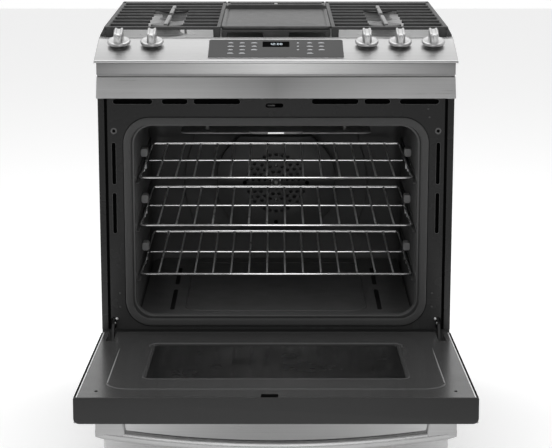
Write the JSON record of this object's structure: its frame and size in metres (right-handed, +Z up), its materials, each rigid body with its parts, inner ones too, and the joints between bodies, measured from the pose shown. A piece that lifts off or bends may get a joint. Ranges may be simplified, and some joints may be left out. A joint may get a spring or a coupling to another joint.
{
  "type": "freestanding gas range",
  "caption": "Freestanding gas range with sloped front controls, cast grates, griddle, convection oven with sliding racks, drop-down door and storage drawer.",
  "frame": {"origin": "centre of the footprint at floor level, with the oven door open", "axes": "+X to the right across the front, +Y to the back, +Z up; the door opens towards -Y"},
  "size_m": [0.77, 1.2364, 0.968],
  "materials": {
    "brushed_steel": "satin, fine horizontal grain",
    "enamel": "glossy dark grey porcelain enamel",
    "grey_paint": "satin dark grey paint",
    "cast_iron": "matte dark grey",
    "burner_alloy": "matte cast",
    "chrome": "bright",
    "dark_glass": "polished dark",
    "gasket_rubber": "matte",
    "galvanised_steel": "bare zinc coated sheet"
  },
  "bodies": {
    "body": {"side_panel_left": "grey_paint", "side_panel_right": "grey_paint", "rear_panel": "galvanised_steel", "base_frame": "galvanised_steel", "cooktop_pan": "brushed_steel", "control_panel": "brushed_steel", "control_glass": "dark_glass", "upper_front_trim": "brushed_steel", "lower_front_trim": "brushed_steel", "oven_front_frame": "enamel", "door_gasket": "gasket_rubber", "oven_liner": "enamel", "oven_floor": "enamel", "fan_cover": "enamel", "broil_burner": "enamel", "bake_burner": "galvanised_steel", "oven_light": "dark_glass", "hinge_arm_left": "chrome", "hinge_arm_right": "chrome", "burner_head_center": "burner_alloy", "burner_head_front_left": "burner_alloy", "burner_head_front_right": "burner_alloy", "burner_head_rear_left": "burner_alloy", "burner_head_rear_right": "burner_alloy"},
    "door": {"door_liner": "enamel", "door_inner_glass": "dark_glass", "door_outer_glass": "dark_glass", "door_outer_panel": "brushed_steel", "door_edge_trim": "grey_paint", "door_handle": "brushed_steel"},
    "drawer": {"drawer_front": "brushed_steel", "drawer_box": "galvanised_steel"},
    "rack_lower": {"rack_lower": "chrome"},
    "rack_middle": {"rack_middle": "chrome"},
    "rack_upper": {"rack_upper": "chrome"},
    "fan_wheel": {"fan_wheel": "galvanised_steel"},
    "door_latch": {"door_latch": "chrome"},
    "valve_stem_1": {"valve_stem_1": "galvanised_steel"},
    "knob_1": {"knob_1": "brushed_steel"},
    "valve_stem_2": {"valve_stem_2": "galvanised_steel"},
    "knob_2": {"knob_2": "brushed_steel"},
    "valve_stem_3": {"valve_stem_3": "galvanised_steel"},
    "knob_3": {"knob_3": "brushed_steel"},
    "valve_stem_4": {"valve_stem_4": "galvanised_steel"},
    "knob_4": {"knob_4": "brushed_steel"},
    "valve_stem_5": {"valve_stem_5": "galvanised_steel"},
    "knob_5": {"knob_5": "brushed_steel"},
    "grate_left": {"grate_left": "cast_iron"},
    "grate_right": {"grate_right": "cast_iron"},
    "grate_center": {"grate_center": "cast_iron"},
    "griddle": {"griddle": "cast_iron"},
    "burner_cap_front_left": {"burner_cap_front_left": "cast_iron"},
    "burner_cap_front_right": {"burner_cap_front_right": "cast_iron"},
    "burner_cap_rear_left": {"burner_cap_rear_left": "cast_iron"},
    "burner_cap_rear_right": {"burner_cap_rear_right": "cast_iron"},
    "burner_cap_center": {"burner_cap_center": "cast_iron"},
    "leveling_leg_front_left": {"leveling_leg_front_left": "gasket_rubber"},
    "leveling_leg_rear_left": {"leveling_leg_rear_left": "gasket_rubber"},
    "leveling_leg_front_right": {"leveling_leg_front_right": "gasket_rubber"},
    "leveling_leg_rear_right": {"leveling_leg_rear_right": "gasket_rubber"}
  },
  "joints": [
    {"name": "door_hinge", "type": "hinge", "parent": "body", "child": "door", "pos_m": [0, -0.07827, 0.278], "axis": [-1, 0, 0], "range_deg": [0, 86]},
    {"name": "drawer_slide", "type": "slide", "parent": "body", "child": "drawer", "axis": [0, 1, 0], "range_m": [-0.36, 0]},
    {"name": "rack_lower_slide", "type": "slide", "parent": "body", "child": "rack_lower", "axis": [0, 1, 0], "range_m": [-0.3, 0]},
    {"name": "rack_middle_slide", "type": "slide", "parent": "body", "child": "rack_middle", "axis": [0, 1, 0], "range_m": [-0.3, 0]},
    {"name": "rack_upper_slide", "type": "slide", "parent": "body", "child": "rack_upper", "axis": [0, 1, 0], "range_m": [-0.3, 0]},
    {"name": "fan_spin", "type": "hinge", "parent": "body", "child": "fan_wheel", "pos_m": [0, 0.46323, 0.532], "axis": [0, 1, 0], "continuous": true},
    {"name": "latch_slide", "type": "slide", "parent": "body", "child": "door_latch", "axis": [0, -1, 0], "range_m": [0, 0.012]},
    {"name": "knob_1_push", "type": "slide", "parent": "body", "child": "valve_stem_1", "axis": [0, 0.2611, -0.9653], "range_m": [0, 0.003], "stiffness_N_per_m": 600, "springref_m": -0.006},
    {"name": "knob_1_turn", "type": "hinge", "parent": "valve_stem_1", "child": "knob_1", "pos_m": [-0.3377, 0.02675, 0.92378], "axis": [0, -0.2611, 0.9653], "range_deg": [0, 235]},
    {"name": "knob_2_push", "type": "slide", "parent": "body", "child": "valve_stem_2", "axis": [0, 0.2611, -0.9653], "range_m": [0, 0.003], "stiffness_N_per_m": 600, "springref_m": -0.006},
    {"name": "knob_2_turn", "type": "hinge", "parent": "valve_stem_2", "child": "knob_2", "pos_m": [-0.2666, 0.02675, 0.92378], "axis": [0, -0.2611, 0.9653], "range_deg": [0, 235]},
    {"name": "knob_3_push", "type": "slide", "parent": "body", "child": "valve_stem_3", "axis": [0, 0.2611, -0.9653], "range_m": [0, 0.003], "stiffness_N_per_m": 600, "springref_m": -0.006},
    {"name": "knob_3_turn", "type": "hinge", "parent": "valve_stem_3", "child": "knob_3", "pos_m": [0.1952, 0.02675, 0.92378], "axis": [0, -0.2611, 0.9653], "range_deg": [0, 235]},
    {"name": "knob_4_push", "type": "slide", "parent": "body", "child": "valve_stem_4", "axis": [0, 0.2611, -0.9653], "range_m": [0, 0.003], "stiffness_N_per_m": 600, "springref_m": -0.006},
    {"name": "knob_4_turn", "type": "hinge", "parent": "valve_stem_4", "child": "knob_4", "pos_m": [0.2668, 0.02675, 0.92378], "axis": [0, -0.2611, 0.9653], "range_deg": [0, 235]},
    {"name": "knob_5_push", "type": "slide", "parent": "body", "child": "valve_stem_5", "axis": [0, 0.2611, -0.9653], "range_m": [0, 0.003], "stiffness_N_per_m": 600, "springref_m": -0.006},
    {"name": "knob_5_turn", "type": "hinge", "parent": "valve_stem_5", "child": "knob_5", "pos_m": [0.338, 0.02675, 0.92378], "axis": [0, -0.2611, 0.9653], "range_deg": [0, 235]},
    {"name": "grate_left_lift", "type": "slide", "parent": "body", "child": "grate_left", "axis": [0, 0, 1], "range_m": [0, 0.1]},
    {"name": "grate_right_lift", "type": "slide", "parent": "body", "child": "grate_right", "axis": [0, 0, 1], "range_m": [0, 0.1]},
    {"name": "grate_center_lift", "type": "slide", "parent": "body", "child": "grate_center", "axis": [0, 0, 1], "range_m": [0, 0.1]},
    {"name": "griddle_lift", "type": "slide", "parent": "grate_center", "child": "griddle", "axis": [0, 0, 1], "range_m": [0, 0.1]},
    {"name": "cap_front_left_lift", "type": "slide", "parent": "body", "child": "burner_cap_front_left", "axis": [0, 0, 1], "range_m": [0, 0.0012]},
    {"name": "cap_front_right_lift", "type": "slide", "parent": "body", "child": "burner_cap_front_right", "axis": [0, 0, 1], "range_m": [0, 0.0012]},
    {"name": "cap_rear_left_lift", "type": "slide", "parent": "body", "child": "burner_cap_rear_left", "axis": [0, 0, 1], "range_m": [0, 0.0012]},
    {"name": "cap_rear_right_lift", "type": "slide", "parent": "body", "child": "burner_cap_rear_right", "axis": [0, 0, 1], "range_m": [0, 0.0012]},
    {"name": "cap_center_lift", "type": "slide", "parent": "body", "child": "burner_cap_center", "axis": [0, 0, 1], "range_m": [0, 0.0012]},
    {"name": "leg_front_left_turn", "type": "hinge", "parent": "body", "child": "leveling_leg_front_left", "pos_m": [-0.33, 0.01323, 0], "axis": [0, 0, 1], "continuous": true},
    {"name": "leg_rear_left_turn", "type": "hinge", "parent": "body", "child": "leveling_leg_rear_left", "pos_m": [-0.33, 0.54823, 0], "axis": [0, 0, 1], "continuous": true},
    {"name": "leg_front_right_turn", "type": "hinge", "parent": "body", "child": "leveling_leg_front_right", "pos_m": [0.33, 0.01323, 0], "axis": [0, 0, 1], "continuous": true},
    {"name": "leg_rear_right_turn", "type": "hinge", "parent": "body", "child": "leveling_leg_rear_right", "pos_m": [0.33, 0.54823, 0], "axis": [0, 0, 1], "continuous": true}
  ]
}
